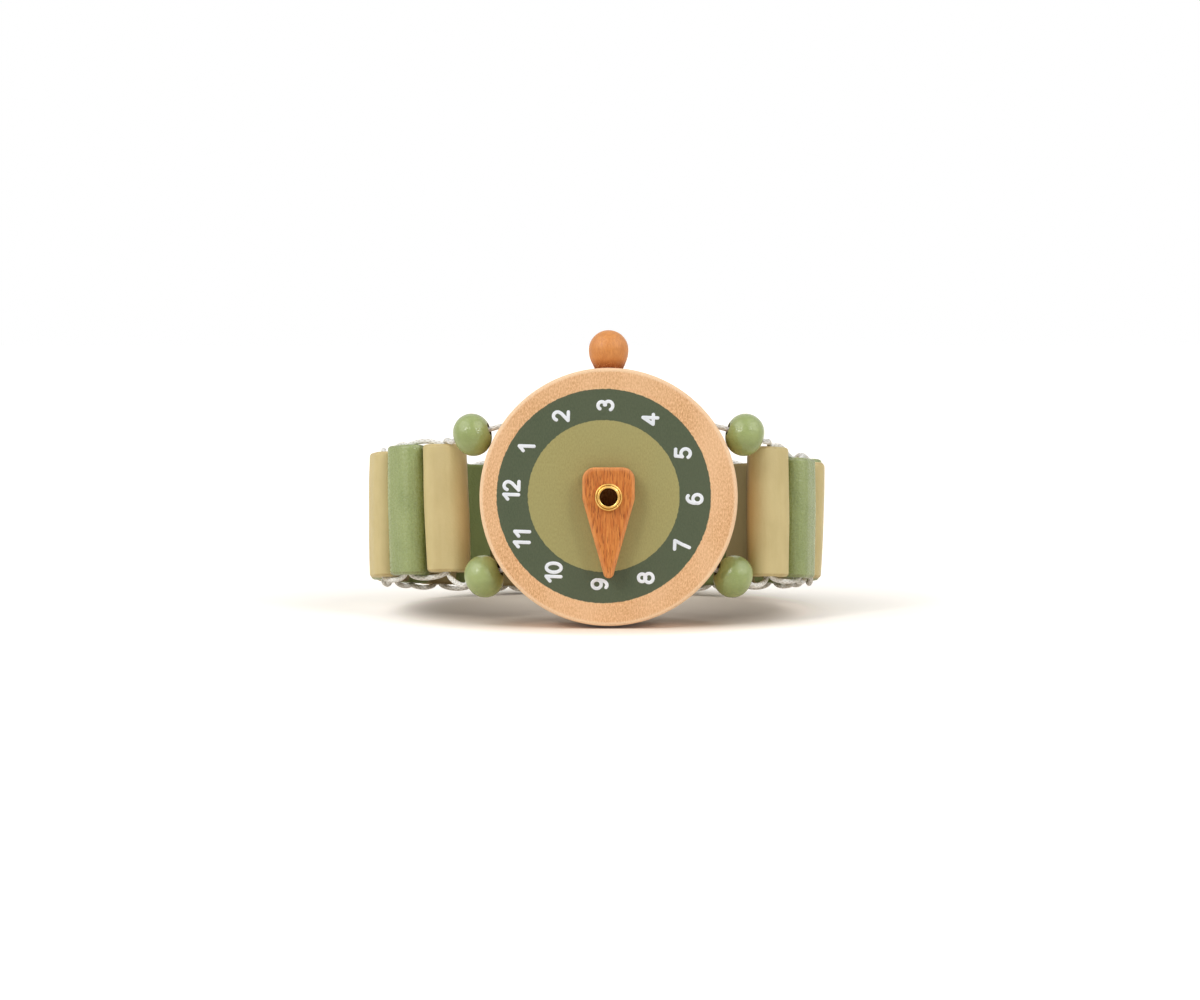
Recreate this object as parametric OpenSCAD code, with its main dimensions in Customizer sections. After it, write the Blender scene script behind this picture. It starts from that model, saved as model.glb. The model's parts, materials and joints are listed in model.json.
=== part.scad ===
// Toy watch: a turned wooden case on a strap of painted wooden tiles strung on elastic.
// Millimetres. The watch stands on the rim of its case, crown up, dial facing -Y, strap behind.
// It is built in its own watch frame, dial face at y = 0 and case axis along Y, and then leaned back
// until the strap's rear loops reach the surface that the rim stands on.

/* [Case] */
// Diameter of the wooden case
case_d = 40; // [34:0.5:48]
// Thickness of the case
case_t = 10; // [9:0.5:13]
// Rounding of the two rims
case_edge_r = 0.4; // [0.3:0.1:1.2]
// Diameter of the two cross bores for the elastic
cross_bore_d = 2.2; // [1.6:0.1:2.8]
// Height of the cross bores over and under the case's middle, of its radius
cross_rise_share = 0.56; // [0.5:0.01:0.6]
// Depth of the cross bores behind the dial, of the case's thickness
cross_depth_share = 0.44; // [0.4:0.01:0.5]

/* [Hand] */
// Widest width of the hand
hand_w = 8.1; // [6:0.1:11]
// From the pivot to the blunt end
hand_tail = 4.6; // [3.6:0.1:6]
// From the pivot to the tip
hand_reach = 12.5; // [9:0.1:16]
// Rounding of the blunt end's corners
hand_corner_r = 1.9; // [0.8:0.1:2.4]
// Rounding of the tip
hand_tip_r = 0.9; // [0.6:0.1:2]
// Thickness of the hand
hand_t = 2.4; // [1.5:0.1:4]
// Air between the hand and the dial
hand_gap = 0.3; // [0.2:0.05:1]

/* [Rivet] */
// Outside diameter of the rivet's barrel
rivet_d = 3.2; // [2.6:0.1:4]
// Diameter of the rivet's hole
rivet_hole_d = 2.7; // [1.8:0.05:3]
// Diameter of the rolled flange
rivet_flange_d = 4.4; // [4:0.1:6]
// Thickness of the rolled flange
rivet_flange_t = 0.8; // [0.5:0.05:1.2]
// Depth of the barrel in the case
rivet_reach = 7; // [4:0.5:8]
// Air behind the barrel, in its blind hole
rivet_spare = 0.6; // [0.2:0.1:1]
// Running clearance between barrel and hand, on the radius
rivet_play = 0.05; // [0.02:0.01:0.1]

/* [Crown] */
// Diameter of the crown's knob
crown_d = 6.2; // [4.5:0.1:8.5]
// Rounding of the knob's lower side, from its widest place to the rim
crown_belly_r = 4.7; // [4.2:0.1:7]
// Height of the knob's widest place over the rim
crown_rise = 2.9; // [2:0.1:3.6]
// Diameter of the crown's peg
crown_peg_d = 2.6; // [1.6:0.1:3]
// Length of the peg in the case
crown_peg_l = 5; // [3:0.5:7]
// Glue gap round the peg, on the radius
crown_glue = 0.03; // [0.02:0.01:0.1]

/* [Lug beads] */
// Diameter of a bead, across its bore
bead_d = 6.7; // [5:0.1:8]
// Length of a bead, along its bore
bead_l = 5.8; // [4:0.1:6.4]
// Diameter of a bead's bore
bead_bore_d = 1.9; // [1.4:0.1:2.6]
// Air between a bead and the rim
bead_gap = 0.15; // [0.1:0.05:0.6]
// Angle of the upper beads over the case's middle
upper_lug_angle = 24.4; // [22:0.1:30]
// Angle of the lower beads under the case's middle
lower_lug_angle = 32.7; // [29:0.1:36]

/* [Strap tiles] */
// Length of a tile, along its bore
tile_l = 20.5; // [16:0.5:24]
// Width of a tile, round the strap
tile_w = 7.25; // [6:0.05:8]
// Thickness of a tile
tile_t = 5; // [4.2:0.1:5.4]
// Air between two tiles
tile_gap = 0.15; // [0.1:0.05:0.8]
// Rounding of a tile's ends
tile_end_r = 0.6; // [0.3:0.1:0.8]
// Diameter of a tile's lengthwise bore
tile_bore_d = 2.3; // [2.2:0.05:2.6]
// Diameter of the bore's countersunk mouths
tile_mouth_d = 2.9; // [2.7:0.05:3.2]
// Depth of the countersunk mouths
tile_mouth_depth = 0.5; // [0.3:0.1:1]

/* [Strap loop] */
// From the rim out to the middle of the strap's first tiles
lug_reach = 5.3; // [5:0.1:7]
// Depth of the strap's first tiles behind the beads
lug_setback = 6.8; // [6:0.1:8]
// Height of the case's middle over the strap's middle
strap_drop = 2.3; // [0:0.1:4]
// Droop of the strap towards its rear
strap_droop = 4.5; // [0:0.1:7]
// Angle that the first tiles are turned out from the dial
lug_facing = 25.5; // [20:0.5:32]
// Turn of the first tiles to the left, by which the whole loop leans
strap_sway = 11; // [0:0.5:14]

/* [Elastic] */
// Diameter of the elastic
elastic_d = 0.8; // [0.6:0.05:0.9]
// Air between the two strands in a bore
elastic_gap = 0.12; // [0.05:0.01:0.2]
// Hang of a loop's middle line beyond the tiles' ends
loop_hang = 0.65; // [0.6:0.05:1.5]
// Depth in the bore at which a loop starts to bend
loop_dip = 0.9; // [0.8:0.05:2]
// Straight end of a loop, past the bend
loop_lead = 0.4; // [0.2:0.1:1]
// Clear height of the lugs' elastic over a tile's mouth
lug_rise = 0.8; // [0.7:0.05:2]

/* [Hidden] */
$fn = 72;
tile_count = 21;
rear = (tile_count + 1) / 2;
case_r = case_d / 2;
elastic_r = elastic_d / 2;
// Half the distance between the two strands in a bore
lane = (elastic_d + elastic_gap) / 2;
tile_r = tile_t / 2;
// From a tile's middle to the middle of its rounded side
tile_side = tile_w / 2 - tile_r;
tile_pitch = tile_w + tile_gap;
// The tiles are sawn to slightly different lengths, and their lower ends are in line
tile_length_shares = [
    1, 0.93, 0.91, 0.97, 1, 0.99, 1, 1.01, 1, 0.99, 1,
    1, 0.99, 1.01, 1, 0.99, 1, 1, 0.985, 1.01, 0.99
];
hand_front = hand_gap + hand_t;
cross_rise = cross_rise_share * case_r;
cross_depth = cross_depth_share * case_t;
bead_depth = case_t / 2;
lug_depth = bead_depth + lug_setback;
// A cut runs past the face it goes through by this much
past = 1;
// Sides of an elastic's outline and steps of a loop
elastic_sides = 8;
loop_steps = 12;
// How fully a loop fills its corners: 1 is half an ellipse, and less is flatter over the gap
loop_corner_share = 0.6;
// Where a loop leaves the level of a longer tile, and how soon it reaches a shorter one's
ledge_share = 0.42;
fall_share = 0.48;
// How closely the sway and the bend keep to the first tiles: 1 spreads them evenly to the rear
sway_power = 3;
bend_power = 8;
// Corner-cutting passes over the lugs' elastic, and the share of a side that a pass cuts
lug_passes = 2;
corner_share = 0.25;
// Place along a cross bore at which its elastic starts to turn to the bead
turn_from_share = 0.85;
// The angles between which the strap's bend is looked for, and the halvings it takes
bend_low = 0;
bend_high = 120;
bend_halvings = 24;

tile_names = [for (i = [1:tile_count]) str("strap_tile_", i < 10 ? "0" : "", i)];
elastic_names = [for (i = [1:tile_count]) str("elastic_", i < 10 ? "0" : "", i)];
bead_names = [
    "lug_bead_upper_right",
    "lug_bead_upper_left",
    "lug_bead_lower_right",
    "lug_bead_lower_left"
];

// Small vector help

function unit(v) = v / norm(v);
function tilted(p, a) = [p[0], p[1] * cos(a) + p[2] * sin(a), p[2] * cos(a) - p[1] * sin(a)];

// The strap's plan. Place 1 is at a lug and the last place is the rear tile. A tile that faces 0
// looks the way the dial does, and one that faces 180 looks straight back. A side is 1 for the
// right and -1 for the left. The tiles turn evenly towards the rear, but for a bend that gathers at
// the lugs.

function turn_share(k) = (rear - k) / (rear - 1);
function facing(k, side, bend = strap_bend) =
    180 - (180 - lug_facing - bend) * turn_share(k)
        - bend * pow(turn_share(k), bend_power)
        + side * strap_sway * pow(turn_share(k), sway_power);
function heading(k, side, bend) = (facing(k, side, bend) + facing(k + 1, side, bend)) / 2;
function plan(k, side, bend = strap_bend) =
    k == rear
        ? [0, 0]
        : let (a = heading(k, side, bend)) plan(k + 1, side, bend) - tile_pitch * [cos(a), sin(a)];

// The strap takes the bend at which its first tiles come out lug_reach from the rim.
function half_span(bend) = (plan(1, 1, bend)[0] + plan(1, -1, bend)[0]) / 2;
function bend_between(low, high, halvings) =
    let (bend = (low + high) / 2)
    halvings == 0
        ? bend
        : half_span(bend) < case_r + lug_reach
            ? bend_between(bend, high, halvings - 1)
            : bend_between(low, bend, halvings - 1);
strap_bend = bend_between(bend_low, bend_high, bend_halvings);

function side_of(i) = i <= rear ? 1 : -1;
function place_of(i) = i <= rear ? i : 2 * rear - i;
function yaw(i) = side_of(i) * facing(place_of(i), side_of(i));

// The first tiles lie evenly about the case, and lug_depth behind its dial on average.
plan_shift = (plan(1, -1)[0] - plan(1, 1)[0]) / 2;
plan_depth = lug_depth - (plan(1, 1)[1] + plan(1, -1)[1]) / 2;

function tile_at(i) =
    let (p = plan(place_of(i), side_of(i)))
    [side_of(i) * p[0] + plan_shift, p[1] + plan_depth, 0];
// A tile's own outward direction
function out(i) = [sin(yaw(i)), -cos(yaw(i)), 0];

// From the strap's frame to the watch's
function drooped(p) =
    tilted(p - [0, lug_depth, 0], strap_droop) + [0, lug_depth, -strap_drop];

// The watch leans back on its lower rear rim until the rear loops are as low as the rim.
rear_loop = drooped(
    (strand_at(rear, true) + strand_at(rear + 1, true)) / 2 - [0, 0, tile_l / 2 + loop_hang]
);
rim_mid = [0, case_t - case_edge_r, case_edge_r - case_r];
to_loop = rear_loop - rim_mid;
to_loop_length = norm([to_loop[1], to_loop[2]]);
lean = atan2(to_loop[2], to_loop[1]) - asin((elastic_r - case_edge_r) / to_loop_length);
foot = tilted(rim_mid, lean) - [0, 0, case_edge_r];

// From the watch's frame to the frame of the part
function standing(p) = tilted(p, lean) - foot;

module stand() {
    translate(-foot)
        rotate([-lean, 0, 0])
            children();
}

module droop() {
    stand()
        translate([0, lug_depth, -strap_drop])
            rotate([-strap_droop, 0, 0])
                translate([0, -lug_depth, 0])
                    children();
}

// Turns a shape made along Z to run along Y, into the case
module along_y() {
    rotate([-90, 0, 0])
        children();
}

// Case: a disc with two softened rims, a blind hole for the rivet, one for the crown's peg and two
// cross bores for the elastic

module rounded_half(r, h, edge) {
    union() {
        translate([0, edge])
            square([r, h - 2 * edge]);
        square([r - edge, h]);
        for (y = [edge, h - edge])
            translate([r - edge, y])
                circle(r = edge);
    }
}

module case_disc() {
    color("burlywood")
        stand()
            difference() {
                along_y()
                    rotate_extrude()
                        rounded_half(case_r, case_t, case_edge_r);
                translate([0, -past, 0])
                    along_y()
                        cylinder(d = rivet_d, h = past + rivet_reach + rivet_spare);
                for (z = [-cross_rise, cross_rise])
                    translate([-case_r, cross_depth, z])
                        rotate([0, 90, 0])
                            cylinder(d = cross_bore_d, h = case_d);
                translate([0, case_t / 2, case_r - crown_peg_l - crown_glue])
                    cylinder(r = crown_peg_d / 2 + crown_glue, h = crown_peg_l + past);
            }
}

// Rivet: a hollow barrel with a rolled flange that keeps the hand on

module rivet() {
    roll_r = rivet_flange_t / 2;
    color("goldenrod")
        stand()
            translate([0, -hand_front - rivet_play, 0])
                along_y()
                    difference() {
                        union() {
                            cylinder(d = rivet_d, h = hand_front + rivet_play + rivet_reach);
                            translate([0, 0, -rivet_flange_t])
                                rotate_extrude()
                                    union() {
                                        square([rivet_flange_d / 2 - roll_r, rivet_flange_t]);
                                        translate([rivet_flange_d / 2 - roll_r, roll_r])
                                            circle(r = roll_r);
                                    }
                        }
                        translate([0, 0, -rivet_flange_t - past])
                            cylinder(
                                d = rivet_hole_d,
                                h = hand_front + rivet_reach + rivet_flange_t + 2 * past
                            );
                    }
}

// Hand: a flat teardrop, blunt at the tail and drawn straight in to a round tip. It is drawn
// pointing along +Y of its own plane and hung to point down.

module hand_outline() {
    tip = [0, hand_reach - hand_tip_r];
    half = hand_w / 2;
    // The straight side runs from the widest point to the tip's round, touching it
    reach = norm([half, tip[1]]);
    slope = atan2(tip[1], half) + asin(hand_tip_r / reach);
    touch = tip + hand_tip_r * [sin(slope), cos(slope)];
    corner = [half - hand_corner_r, hand_corner_r - hand_tail];
    union() {
        polygon([
            [half, 0],
            touch,
            [-touch[0], touch[1]],
            [-half, 0],
            [-half, corner[1]],
            [-corner[0], -hand_tail],
            [corner[0], -hand_tail],
            [half, corner[1]]
        ]);
        translate(tip)
            circle(r = hand_tip_r);
        for (s = [-1, 1])
            translate([s * corner[0], corner[1]])
                circle(r = hand_corner_r);
    }
}

module hand() {
    color("chocolate")
        stand()
            translate([0, -hand_front, 0])
                along_y()
                    difference() {
                        linear_extrude(hand_t)
                            hand_outline();
                        translate([0, 0, -past])
                            cylinder(r = rivet_d / 2 + rivet_play, h = hand_t + 2 * past);
                    }
}

// Crown: a knob, round on top and drawn in more slowly below, cut to the rim, with a peg glued in
// the case

module knob_half() {
    reach = crown_rise + past;
    union() {
        intersection() {
            circle(d = crown_d);
            square([crown_d, crown_d]);
        }
        intersection() {
            translate([crown_d / 2 - crown_belly_r, 0])
                circle(r = crown_belly_r);
            translate([0, -reach])
                square([crown_d, reach]);
        }
    }
}

module crown() {
    color("peru")
        stand()
            translate([0, case_t / 2, 0])
                union() {
                    difference() {
                        translate([0, 0, case_r + crown_rise])
                            rotate_extrude()
                                knob_half();
                        translate([0, -case_t, 0])
                            along_y()
                                cylinder(r = case_r, h = 2 * case_t);
                    }
                    translate([0, 0, case_r - crown_peg_l])
                        cylinder(d = crown_peg_d, h = crown_peg_l + crown_rise);
                }
}

// Lug beads: round beads, a little flattened along the bore, each on a cord that comes out of a
// cross bore. Rise is 1 for the upper pair and -1 for the lower.

function cord_exit(side, rise) =
    [side * sqrt(pow(case_r, 2) - pow(cross_rise, 2)), cross_depth, rise * cross_rise];
function bead_ray(side, rise) =
    let (a = rise > 0 ? upper_lug_angle : lower_lug_angle) [side * cos(a), 0, rise * sin(a)];
function bead_on_ray(side, rise, out) = out * bead_ray(side, rise) + [0, bead_depth, 0];
// A bead that lies across the ray from the case's middle is as fat that way as its diameter.
function bead_out(side, rise) =
    let (way = bead_on_ray(side, rise, case_r + bead_d / 2) - cord_exit(side, rise))
    case_r + bead_gap + bead_l / 2
        + (bead_d - bead_l) / 2 * norm(cross(unit(way), bead_ray(side, rise)));
function bead_at(side, rise) = bead_on_ray(side, rise, bead_out(side, rise));
function bead_way(side, rise) = unit(bead_at(side, rise) - cord_exit(side, rise));

module lug_bead(side, rise) {
    way = bead_way(side, rise);
    bulge_r = bead_l / 2;
    color("darkseagreen")
        stand()
            translate(bead_at(side, rise))
                rotate([0, acos(way[2]), atan2(way[1], way[0])])
                    difference() {
                        rotate_extrude()
                            intersection() {
                                union() {
                                    translate([bead_d / 2 - bulge_r, 0])
                                        circle(r = bulge_r);
                                    translate([0, -bulge_r])
                                        square([bead_d / 2 - bulge_r, bead_l]);
                                }
                                translate([0, -bead_l])
                                    square([bead_d, 2 * bead_l]);
                            }
                        translate([0, 0, -bead_l])
                            cylinder(d = bead_bore_d, h = 2 * bead_l);
                    }
}

// Strap tiles: slats with round sides and softened ends, drilled lengthwise for two strands

function tile_length(i) = tile_l * tile_length_shares[i - 1];
// Height of a tile's upper or lower end
function end_at(i, end) = end > 0 ? tile_length(i) - tile_l / 2 : -tile_l / 2;

module tile_blank(h) {
    translate([0, 0, -tile_l / 2])
        union() {
            for (s = [-1, 1])
                translate([s * tile_side, 0, 0])
                    rotate([0, 0, -90 * s])
                        rotate_extrude(angle = 180)
                            rounded_half(tile_r, h, tile_end_r);
            translate([-tile_side, 0, 0])
                rotate([90, 0, 90])
                    linear_extrude(2 * tile_side)
                        union() {
                            rounded_half(tile_r, h, tile_end_r);
                            mirror([1, 0])
                                rounded_half(tile_r, h, tile_end_r);
                        }
        }
}

module strap_tile(i) {
    color(i % 2 == 1 ? "wheat" : "darkseagreen")
        droop()
            translate(tile_at(i))
                rotate([0, 0, yaw(i)])
                    difference() {
                        tile_blank(tile_length(i));
                        translate([0, 0, -tile_l])
                            cylinder(d = tile_bore_d, h = 2 * tile_l);
                        translate([0, 0, end_at(i, 1) - tile_mouth_depth])
                            cylinder(d1 = tile_bore_d, d2 = tile_mouth_d, h = tile_mouth_depth);
                        translate([0, 0, end_at(i, -1)])
                            cylinder(d1 = tile_mouth_d, d2 = tile_bore_d, h = tile_mouth_depth);
                    }
}

// Elastic: one cord laced up and down the strap. The outer lane of an odd tile carries it from
// top to bottom and the inner lane from bottom to top; an even tile has them the other way round.
// A node has both strands of its tile, each with its loop to the next tile towards the rear, so a
// loop goes with the tile that its neighbour turns on. The rear tile has strands and no loops.

function way_down(i, outer) = (i % 2 == 1) == outer ? -1 : 1;
function strand_at(i, outer) = tile_at(i) + (outer ? lane : -lane) * out(i);

// Height in a tile at which one elastic node ends and the next starts
function join_at(end) =
    end > 0
        ? tile_l * min(tile_length_shares) - tile_l / 2 - loop_dip - loop_lead
        : loop_dip + loop_lead - tile_l / 2;

// A loop keeps to the longer tile's end, and then falls to the shorter one
function fall(u) = (1 + cos(180 * max(0, min(1, (u - ledge_share) / fall_share)))) / 2;

function loop_path(i, next, outer, end) =
    let (
        from = strand_at(i, outer),
        to = strand_at(next, outer),
        here = end_at(i, end),
        there = end_at(next, end)
    )
    [
        for (s = [0:loop_steps])
            let (
                a = 180 * s / loop_steps,
                u = (1 - cos(a)) / 2,
                bow = (loop_hang + loop_dip) * pow(sin(a), loop_corner_share) - loop_dip,
                level = here > there
                    ? there + (here - there) * fall(u)
                    : here + (there - here) * fall(1 - u)
            )
            from + (to - from) * u + [0, 0, level + end * bow]
    ];

function strand_path(i, outer) =
    let (
        next = i < rear ? i + 1 : i - 1,
        end = way_down(min(i, next), outer),
        start = strand_at(i, outer) + [0, 0, join_at(-end)],
        stop = strand_at(i == rear ? i : next, outer) + [0, 0, join_at(end)]
    )
    i == rear
        ? [start, stop]
        : concat([start], loop_path(i, next, outer, end), [stop]);

// The route from a cross bore through a bead and over into the first tile of its side
function lug_path(side, rise) =
    let (
        i = side > 0 ? 1 : tile_count,
        outer = (side > 0) == (rise > 0),
        way = bead_way(side, rise),
        bead = bead_at(side, rise),
        mouth = strand_at(i, outer),
        over = drooped(mouth + [0, 0, end_at(i, rise) + rise * lug_rise]),
        exit = cord_exit(side, rise),
        leave = bead + way * (bead_l / 2 + elastic_d)
    )
    [
        [exit[0] * turn_from_share, exit[1], exit[2]],
        exit,
        bead + way * bead_l / 2,
        leave,
        (leave + over) / 2 + [0, 0, rise * lug_rise / 2],
        over,
        drooped(mouth + [0, 0, end_at(i, rise) - rise * loop_dip]),
        drooped(mouth + [0, 0, join_at(rise)])
    ];

function reversed(p) = [for (j = [len(p) - 1:-1:0]) p[j]];

// One pass that cuts the corners off a path and keeps its ends
function softened(p, passes) =
    passes == 0
        ? p
        : softened(
            concat(
                [p[0]],
                [
                    for (j = [0:len(p) - 2])
                        for (u = [corner_share, 1 - corner_share])
                            p[j] + (p[j + 1] - p[j]) * u
                ],
                [p[len(p) - 1]]
            ),
            passes - 1
        );

function tangent(p, j) = unit(p[min(j + 1, len(p) - 1)] - p[max(j - 1, 0)]);
// A direction square to the path, carried along it without twisting
function carried(p, j) =
    j == 0
        ? unit(cross(tangent(p, 0), [tangent(p, 0)[2], tangent(p, 0)[0], tangent(p, 0)[1]]))
        : let (t = tangent(p, j), a = carried(p, j - 1)) unit(a - (a * t) * t);

module cord(path) {
    n = elastic_sides;
    last = len(path) - 1;
    rings = [
        for (j = [0:last])
            let (a = carried(path, j), b = cross(tangent(path, j), a))
            for (q = [0:n - 1])
                path[j] + elastic_r * (a * cos(360 * q / n) + b * sin(360 * q / n))
    ];
    sides = [
        for (j = [0:last - 1])
            for (q = [0:n - 1])
                [j * n + q, (j + 1) * n + q, (j + 1) * n + (q + 1) % n, j * n + (q + 1) % n]
    ];
    first_cap = [for (q = [0:n - 1]) q];
    last_cap = [for (q = [n - 1:-1:0]) last * n + q];
    polyhedron(points = rings, faces = concat(sides, [first_cap, last_cap]));
}

module elastic(i) {
    color("white")
        droop()
            for (outer = [true, false])
                cord(strand_path(i, outer));
}

module elastic_case() {
    color("white")
        stand()
            for (rise = [-1, 1])
                cord(softened(concat(reversed(lug_path(-1, rise)), lug_path(1, rise)), lug_passes));
}

case_disc();
rivet();
hand();
crown();
elastic_case();
lug_bead(1, 1);  // lug_bead_upper_right
lug_bead(-1, 1);  // lug_bead_upper_left
lug_bead(1, -1);  // lug_bead_lower_right
lug_bead(-1, -1);  // lug_bead_lower_left
for (i = [1:tile_count]) {
    strap_tile(i);
    elastic(i);
}
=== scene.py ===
# %% [markdown]
# # A wooden toy watch
#
# The watch is a turned wooden disc with a printed dial, one stained hand on a brass eyelet, four
# painted beads and a strap of painted slats strung on white elastic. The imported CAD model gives
# every piece its place and its motion. This script lays a finer surface over each piece, gives it
# a finish, and sets up the light and the camera.

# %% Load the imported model
import json
import math
import bpy
import numpy as np
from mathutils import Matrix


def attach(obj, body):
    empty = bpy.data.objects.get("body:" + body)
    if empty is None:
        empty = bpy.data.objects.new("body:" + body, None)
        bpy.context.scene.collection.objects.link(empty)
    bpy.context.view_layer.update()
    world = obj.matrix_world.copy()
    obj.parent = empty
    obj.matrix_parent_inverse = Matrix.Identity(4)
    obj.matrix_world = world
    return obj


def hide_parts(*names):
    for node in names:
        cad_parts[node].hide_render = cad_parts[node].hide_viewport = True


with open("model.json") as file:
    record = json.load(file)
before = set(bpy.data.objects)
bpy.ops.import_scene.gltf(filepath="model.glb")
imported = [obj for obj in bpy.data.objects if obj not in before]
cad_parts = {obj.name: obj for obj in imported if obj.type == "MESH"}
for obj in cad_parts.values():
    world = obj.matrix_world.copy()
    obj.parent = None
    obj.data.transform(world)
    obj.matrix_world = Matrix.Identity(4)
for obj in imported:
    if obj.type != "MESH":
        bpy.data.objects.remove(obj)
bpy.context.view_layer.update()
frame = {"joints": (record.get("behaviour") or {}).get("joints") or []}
MM = 0.001

# %% [markdown]
# ## Where things are
#
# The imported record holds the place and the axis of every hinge. The hand's hinge gives the middle
# of the dial and the way it faces, and each strap hinge runs through the bore of one tile, so the
# pieces can be placed from these alone. Taking places from the record is safer than copying
# numbers, because the surfaces then follow the model wherever it goes.

# %% Read the hinges
hinges = {j["child"]: j for j in frame["joints"]}


def hinge_place(body):
    """The point that a body's hinge goes through, in millimetres."""
    return np.array(hinges[body]["pos_m"]) / MM


def hinge_axis(body):
    """The direction of a body's hinge, one unit long."""
    axis = np.array(hinges[body]["axis"])
    return axis / np.linalg.norm(axis)


dial_middle = hinge_place("hand")
across = np.array([1.0, 0.0, 0.0])
into_case = -hinge_axis("hand")
watch_axes = np.stack([across, into_case, np.cross(across, into_case)])


def on_watch(p):
    """From the watch's own frame, x across the dial, y into the case and z up, to the model's."""
    return dial_middle + np.asarray(p, float) @ watch_axes


print("The dial leans back", round(math.degrees(math.asin(-into_case[2])), 2), "degrees")

# %% [markdown]
# The strap's hinges all run the same way, along the slats. A slat's turn about its own bore isn't
# in the record, so the rule that the CAD model uses is repeated here: the slats face 25.5 degrees out
# from the dial at the case and straight back at the rear, with an extra bend near the case. The
# print shows how well the chords between the hinges agree with the rule. On the real watch the first
# slats sit a little askew on their cord, by up to two thirds of a millimetre. That is added here
# alone, because hinges that lean would have to be unlike each other.

# %% Work out the strap's frame
TILES = 21
REAR = 11
strap_up = hinge_axis("tile_01")
strap_axes = np.stack([across, np.cross(strap_up, across), strap_up])


def tile_body(i):
    return f"tile_{i:02d}"


def tile_turn(i):
    """How far a slat is turned about its bore, in degrees. With t from 1 at the case to 0 at the
    rear, it faces 180 less 122.2 t, less a bend of 32.3 t to the power 8 that gathers at the case,
    plus a sway of 11 t cubed that leans the whole loop to the left."""
    side = 1 if i <= REAR else -1
    t = (REAR - i if side > 0 else i - REAR) / (REAR - 1)
    return side * (180 - 122.2325 * t - 32.2675 * t ** 8 + side * 11 * t ** 3)


# How the first slats sit askew on the cord: lean to the left in degrees, then millimetres to the
# right and up.
ASKEW = {
    21: (2.3, -0.40, 0.50), 20: (1.4, -0.45, 0.20), 19: (0.3, -0.65, 0.10), 18: (0.0, 0.10, 0.0),
    1: (0.0, -0.10, -0.30), 2: (-0.6, 0.15, -0.25), 3: (-2.2, 0.15, 0.0), 4: (-1.6, 0.0, -0.15),
}


def on_tile(i, p):
    """From a slat's own frame, x along its width, y through it and z along its bore. A slat that
    leans is moved to the left by its height times the lean's tangent."""
    a = math.radians(tile_turn(i))
    turn = np.array([[math.cos(a), math.sin(a), 0], [-math.sin(a), math.cos(a), 0], [0, 0, 1]])
    lean, right, up = ASKEW.get(i, (0.0, 0.0, 0.0))
    p = np.asarray(p, float)
    aside = right - p[..., 2:] * math.tan(math.radians(lean))
    return hinge_place(tile_body(i)) + p @ turn @ strap_axes + aside * across + up * strap_up


misses = []
for i in range(1, REAR):
    chord = (hinge_place(tile_body(i + 1)) - hinge_place(tile_body(i))) @ strap_axes.T
    rule = (tile_turn(i) + tile_turn(i + 1)) / 2
    misses.append(abs(math.degrees(math.atan2(chord[1], chord[0])) - rule))
print("The slats' turns agree with the hinges within", round(max(misses), 3), "degrees")

# %% [markdown]
# ## From arrays to meshes
#
# A surface here is a grid of points: rows of a closed outline, one row after another. numpy works
# the whole grid out at once. The helper below joins neighbouring rows with four-sided faces, welds
# points that fall together at a pole, and turns the skin right side out by the sign of its volume.
# Modelling each piece by hand or with a chain of modifiers would give much the same shapes, but a
# formula can be read, measured and changed.

# %% Helpers that skin grids
WELD = 2e-8  # metres: points closer than this become one


def grid_faces(rows, columns, ring):
    """Four corners of each face between row j and row j + 1. A ring also joins the last row to the
    first."""
    j, q = np.meshgrid(np.arange(rows if ring else rows - 1), np.arange(columns), indexing="ij")
    after, beside = (j + 1) % rows, (q + 1) % columns
    return np.stack(
        [j * columns + q, j * columns + beside, after * columns + beside, after * columns + q], -1
    ).reshape(-1, 4)


def skin_grids(name, grids, grains, ring=True, edges=None, crease=38, wrist_shades=None):
    """One mesh from a list of grids of points in millimetres. Grain is each point in the piece's own
    frame, which the finishes read, edges mark from 0 to 1 where a finish changes its colour, for
    wear, runs of stain, painted highlights and painted shade, and wrist_shades how much a point faces
    the wrist, where the slats get painted shade."""
    points = np.concatenate([g.reshape(-1, 3) for g in grids]) * MM
    grain = np.concatenate([g.reshape(-1, 3) for g in grains]) * MM
    edge, inner = (
        np.concatenate([m.reshape(-1) for m in masks]) if masks else np.zeros(len(points))
        for masks in (edges, wrist_shades)
    )
    starts = np.cumsum([0] + [g.shape[0] * g.shape[1] for g in grids])
    quads = np.concatenate([grid_faces(*g.shape[:2], ring) + s for g, s in zip(grids, starts)])
    _, first, same = np.unique(
        np.round(points / WELD).astype(np.int64), axis=0, return_index=True, return_inverse=True
    )
    quads = same.reshape(-1)[quads]
    points, grain, edge, inner = points[first], grain[first], edge[first], inner[first]
    ends = np.roll(quads, -1, axis=1) == quads
    doubles = ends.sum(1)
    whole = quads[doubles == 0]
    pinched, gone = quads[doubles == 1], ends[doubles == 1]
    tris = pinched[~gone].reshape(-1, 3)
    corners = points[np.concatenate([whole[:, [0, 1, 2]], whole[:, [0, 2, 3]], tris])]
    volume = np.einsum("ij,ij->", corners[:, 0], np.cross(corners[:, 1], corners[:, 2])) / 6
    if volume < 0:
        whole, tris = whole[:, ::-1], tris[:, ::-1]
    mesh = bpy.data.meshes.new(name)
    mesh.from_pydata(points, [], whole.tolist() + tris.tolist())
    # The inner attribute marks the side to the wrist, where the slat paint gets painted shade.
    for label, kind, field, values in (
        ("grain", "FLOAT_VECTOR", "vector", grain),
        ("edge", "FLOAT", "value", edge),
        ("inner", "FLOAT", "value", inner),
    ):
        layer = mesh.attributes.new(label, kind, "POINT").data
        layer.foreach_set(field, values.astype(np.float32).ravel())
    mesh.shade_smooth()
    mesh.set_sharp_from_angle(angle=math.radians(crease))
    mesh.update()
    piece = bpy.data.objects.new(name, mesh)
    bpy.context.scene.collection.objects.link(piece)
    return piece


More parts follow.
